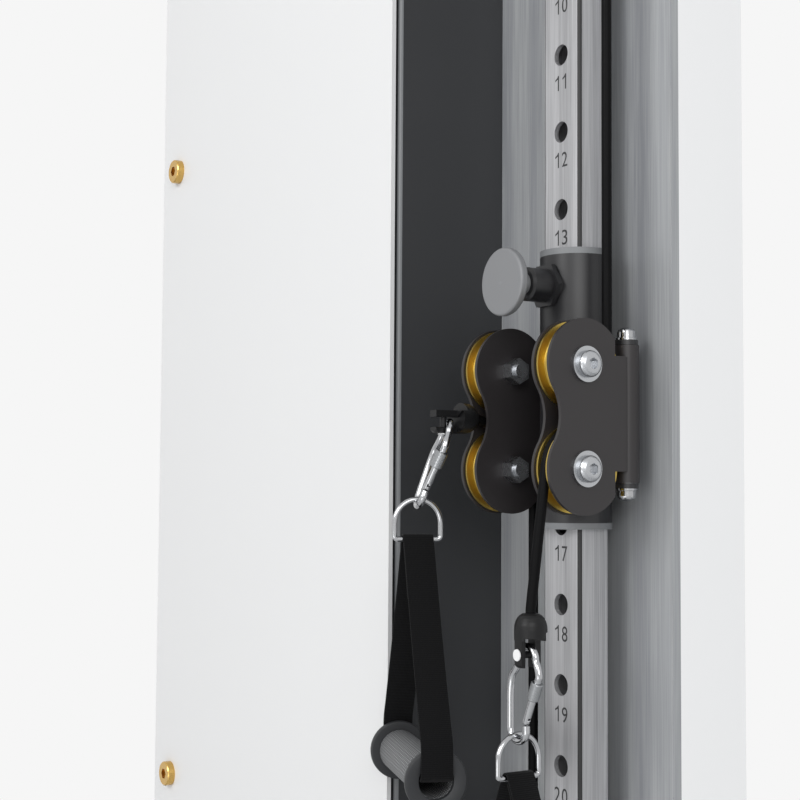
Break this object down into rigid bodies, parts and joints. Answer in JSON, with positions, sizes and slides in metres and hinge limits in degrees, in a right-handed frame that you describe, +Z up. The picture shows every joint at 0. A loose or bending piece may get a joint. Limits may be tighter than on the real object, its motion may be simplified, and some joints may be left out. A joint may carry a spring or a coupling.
{
  "type": "wall-mounted cable training gate",
  "caption": "Wall-mounted cable training gate with a weight stack, an index rail, a height-set pulley carriage and two cable handles.",
  "frame": {"origin": "centre of the four wall bolts, on the wall plane", "axes": "+X to the right along the wall, +Y into the wall, +Z up"},
  "size_m": [0.7528, 0.2768, 2.29],
  "materials": {
    "powder_black": "satin",
    "housing_paint": "satin",
    "cap_paint": "satin",
    "panel_white": "satin",
    "standoff_brass": "brushed",
    "column_steel": "brushed",
    "rail_steel": "satin",
    "channel_paint": "satin",
    "zinc_steel": "satin",
    "rod_steel": "polished",
    "weight_iron": "satin",
    "cable_jacket": "satin",
    "wheel_gold": "anodised",
    "head_iron": "satin",
    "hanger_steel": "satin",
    "stem_steel": "turned",
    "selector_steel": "turned",
    "carriage_black": "satin",
    "bush_nylon": "matte",
    "pin_chrome": "polished",
    "barrel_black": "satin",
    "spring_steel": "bright",
    "plunger_steel": "polished",
    "knob_aluminium": "turned",
    "plate_black": "satin",
    "yoke_black": "satin",
    "bolt_chrome": "polished",
    "stopper_black": "black anodised",
    "hook_chrome": "polished",
    "gate_chrome": "polished",
    "lock_steel": "turned",
    "ring_chrome": "polished",
    "webbing_black": "woven",
    "grip_grey": "ribbed"
  },
  "bodies": {
    "frame": {"back_frame": "powder_black", "housing_shell": "housing_paint", "end_caps": "cap_paint", "front_panel": "panel_white", "panel_standoffs": "standoff_brass", "column_cladding": "column_steel", "rail": "rail_steel", "end_channels": "channel_paint", "guide_axles": "zinc_steel", "guide_rods": "rod_steel", "weight_plates": "weight_iron", "cable_housing": "cable_jacket", "cable_upper_run": "cable_jacket", "cable_lower_run": "cable_jacket", "cable_strands": "cable_jacket"},
    "wheel_top_outer": {"top_pulley_outer": "wheel_gold"},
    "wheel_top_inner": {"top_pulley_inner": "wheel_gold"},
    "wheel_top_return": {"top_pulley_return": "wheel_gold"},
    "wheel_base_outer": {"base_pulley_outer": "wheel_gold"},
    "wheel_base_inner": {"base_pulley_inner": "wheel_gold"},
    "stack": {"head_plate": "head_iron", "stack_hanger": "hanger_steel", "selector_stem": "stem_steel", "cable_stack_wrap": "cable_jacket"},
    "wheel_stack": {"stack_pulley": "wheel_gold"},
    "selector": {"selector_pin": "selector_steel"},
    "carriage": {"carriage_sleeve": "carriage_black", "sleeve_bushes": "bush_nylon", "hinge_pins": "pin_chrome", "plunger_barrel": "barrel_black", "plunger_spring": "spring_steel"},
    "plunger": {"plunger_pin": "plunger_steel", "plunger_knob": "knob_aluminium"},
    "block_right": {"block_plates_right": "plate_black", "block_yoke_right": "yoke_black", "block_bolts_right": "bolt_chrome", "cable_wrap_right": "cable_jacket", "cable_end_right": "cable_jacket"},
    "wheel_upper_right": {"pulley_upper_right": "wheel_gold"},
    "wheel_lower_right": {"pulley_lower_right": "wheel_gold"},
    "end_right": {"stopper_right": "stopper_black"},
    "hook_right": {"carabiner_right": "hook_chrome"},
    "gate_right": {"carabiner_gate_right": "gate_chrome"},
    "lock_right": {"screw_sleeve_right": "lock_steel"},
    "handle_right": {"d_ring_right": "ring_chrome", "strap_right": "webbing_black"},
    "roller_right": {"grip_right": "grip_grey"},
    "block_left": {"block_plates_left": "plate_black", "block_yoke_left": "yoke_black", "block_bolts_left": "bolt_chrome", "cable_wrap_left": "cable_jacket"},
    "wheel_upper_left": {"pulley_upper_left": "wheel_gold"},
    "wheel_lower_left": {"pulley_lower_left": "wheel_gold"},
    "end_left": {"stopper_left": "stopper_black"},
    "hook_left": {"carabiner_left": "hook_chrome"},
    "gate_left": {"carabiner_gate_left": "gate_chrome"},
    "lock_left": {"screw_sleeve_left": "lock_steel"},
    "handle_left": {"d_ring_left": "ring_chrome", "strap_left": "webbing_black"},
    "roller_left": {"grip_left": "grip_grey"}
  },
  "joints": [
    {"name": "carriage_slide", "type": "slide", "parent": "frame", "child": "carriage", "axis": [0, 0, 1], "range_m": [-0.762, 0.762], "deforming": ["cable_upper_run", "cable_lower_run"]},
    {"name": "plunger_pull", "type": "slide", "parent": "carriage", "child": "plunger", "axis": [0, -1, 0], "range_m": [0, 0.0115], "stiffness_N_per_m": 1500, "springref_m": -0.01, "deforming": ["plunger_spring"]},
    {"name": "stack_lift", "type": "slide", "parent": "frame", "child": "stack", "axis": [0, 0, 1], "range_m": [0, 0.6], "deforming": ["cable_strands"]},
    {"name": "selector_pull", "type": "slide", "parent": "stack", "child": "selector", "axis": [0, -1, 0], "range_m": [0, 0.013]},
    {"name": "top_outer_spin", "type": "hinge", "parent": "frame", "child": "wheel_top_outer", "pos_m": [0.297, -0.127, 1.05], "axis": [0, 1, 0], "continuous": true},
    {"name": "top_inner_spin", "type": "hinge", "parent": "frame", "child": "wheel_top_inner", "pos_m": [-0.047, -0.127, 1.05], "axis": [0, 1, 0], "continuous": true},
    {"name": "top_return_spin", "type": "hinge", "parent": "frame", "child": "wheel_top_return", "pos_m": [-0.1945, -0.127, 1.0225], "axis": [0, 1, 0], "continuous": true},
    {"name": "base_outer_spin", "type": "hinge", "parent": "frame", "child": "wheel_base_outer", "pos_m": [0.203, -0.127, -1.05], "axis": [0, 1, 0], "continuous": true},
    {"name": "base_inner_spin", "type": "hinge", "parent": "frame", "child": "wheel_base_inner", "pos_m": [-0.222, -0.127, -1.05], "axis": [0, 1, 0], "continuous": true},
    {"name": "stack_spin", "type": "hinge", "parent": "stack", "child": "wheel_stack", "pos_m": [-0.107, -0.127, -0.44], "axis": [0, 1, 0], "continuous": true},
    {"name": "block_swivel_right", "type": "hinge", "parent": "carriage", "child": "block_right", "pos_m": [0.327, -0.107, 0.056], "axis": [0, 0, 1], "range_deg": [-5, 90]},
    {"name": "upper_spin_right", "type": "hinge", "parent": "block_right", "child": "wheel_upper_right", "pos_m": [0.327, -0.157, 0.096], "axis": [1, 0, 0], "continuous": true},
    {"name": "lower_spin_right", "type": "hinge", "parent": "block_right", "child": "wheel_lower_right", "pos_m": [0.327, -0.157, 0.016], "axis": [1, 0, 0], "continuous": true},
    {"name": "pull_right", "type": "slide", "parent": "block_right", "child": "end_right", "axis": [0, 0, -1], "range_m": [0, 0.6], "deforming": ["cable_end_right"]},
    {"name": "hook_swing_right", "type": "hinge", "parent": "end_right", "child": "hook_right", "pos_m": [0.327, -0.204, -0.1225], "axis": [0, 1, 0], "range_deg": [-10, 10]},
    {"name": "gate_swing_right", "type": "hinge", "parent": "hook_right", "child": "gate_right", "pos_m": [0.3255, -0.204, -0.1724], "axis": [0, -1, 0], "range_deg": [0, 15], "stiffness_Nm_per_rad": 0.02, "springref_deg": -22.92},
    {"name": "lock_spin_right", "type": "hinge", "parent": "gate_right", "child": "lock_right", "pos_m": [0.3255, -0.204, -0.1724], "axis": [0.4138, 0, 0.9104], "continuous": true},
    {"name": "handle_swing_right", "type": "hinge", "parent": "hook_right", "child": "handle_right", "pos_m": [0.316, -0.204, -0.1878], "axis": [-1, 0, 0], "range_deg": [-8, 75]},
    {"name": "grip_spin_right", "type": "hinge", "parent": "handle_right", "child": "roller_right", "pos_m": [0.316, -0.204, -0.3928], "axis": [1, 0, 0], "continuous": true},
    {"name": "block_swivel_left", "type": "hinge", "parent": "carriage", "child": "block_left", "pos_m": [0.233, -0.107, 0.056], "axis": [0, 0, 1], "range_deg": [-4, 4]},
    {"name": "upper_spin_left", "type": "hinge", "parent": "block_left", "child": "wheel_upper_left", "pos_m": [0.233, -0.157, 0.096], "axis": [1, 0, 0], "continuous": true},
    {"name": "lower_spin_left", "type": "hinge", "parent": "block_left", "child": "wheel_lower_left", "pos_m": [0.233, -0.157, 0.016], "axis": [1, 0, 0], "continuous": true},
    {"name": "pull_left", "type": "slide", "parent": "block_left", "child": "end_left", "axis": [0, -1, 0], "range_m": [0, 0.6]},
    {"name": "hook_swing_left", "type": "hinge", "parent": "end_left", "child": "hook_left", "pos_m": [0.233, -0.2175, 0.054], "axis": [0, 0, 1], "range_deg": [-5, 5]},
    {"name": "gate_swing_left", "type": "hinge", "parent": "hook_left", "child": "gate_left", "pos_m": [0.22515, -0.22792, 0.00105], "axis": [-0.3342, -0.8845, 0.3256], "range_deg": [0, 15], "stiffness_Nm_per_rad": 0.02, "springref_deg": -22.92},
    {"name": "lock_spin_left", "type": "hinge", "parent": "gate_left", "child": "lock_left", "pos_m": [0.22515, -0.22792, 0.00105], "axis": [0.4919, 0.131, 0.8608], "continuous": true},
    {"name": "handle_swing_left", "type": "hinge", "parent": "hook_left", "child": "handle_left", "pos_m": [0.21449, -0.22926, -0.01351], "axis": [-0.9354, 0.3535, 0], "range_deg": [-8, 75]},
    {"name": "grip_spin_left", "type": "hinge", "parent": "handle_left", "child": "roller_left", "pos_m": [0.21449, -0.22926, -0.21851], "axis": [0.9354, -0.3535, 0], "continuous": true}
  ],
  "couplings": [
    {"joint": "pull_right", "follows": "stack_lift", "ratio": 1},
    {"joint": "pull_left", "follows": "stack_lift", "ratio": 1}
  ]
}
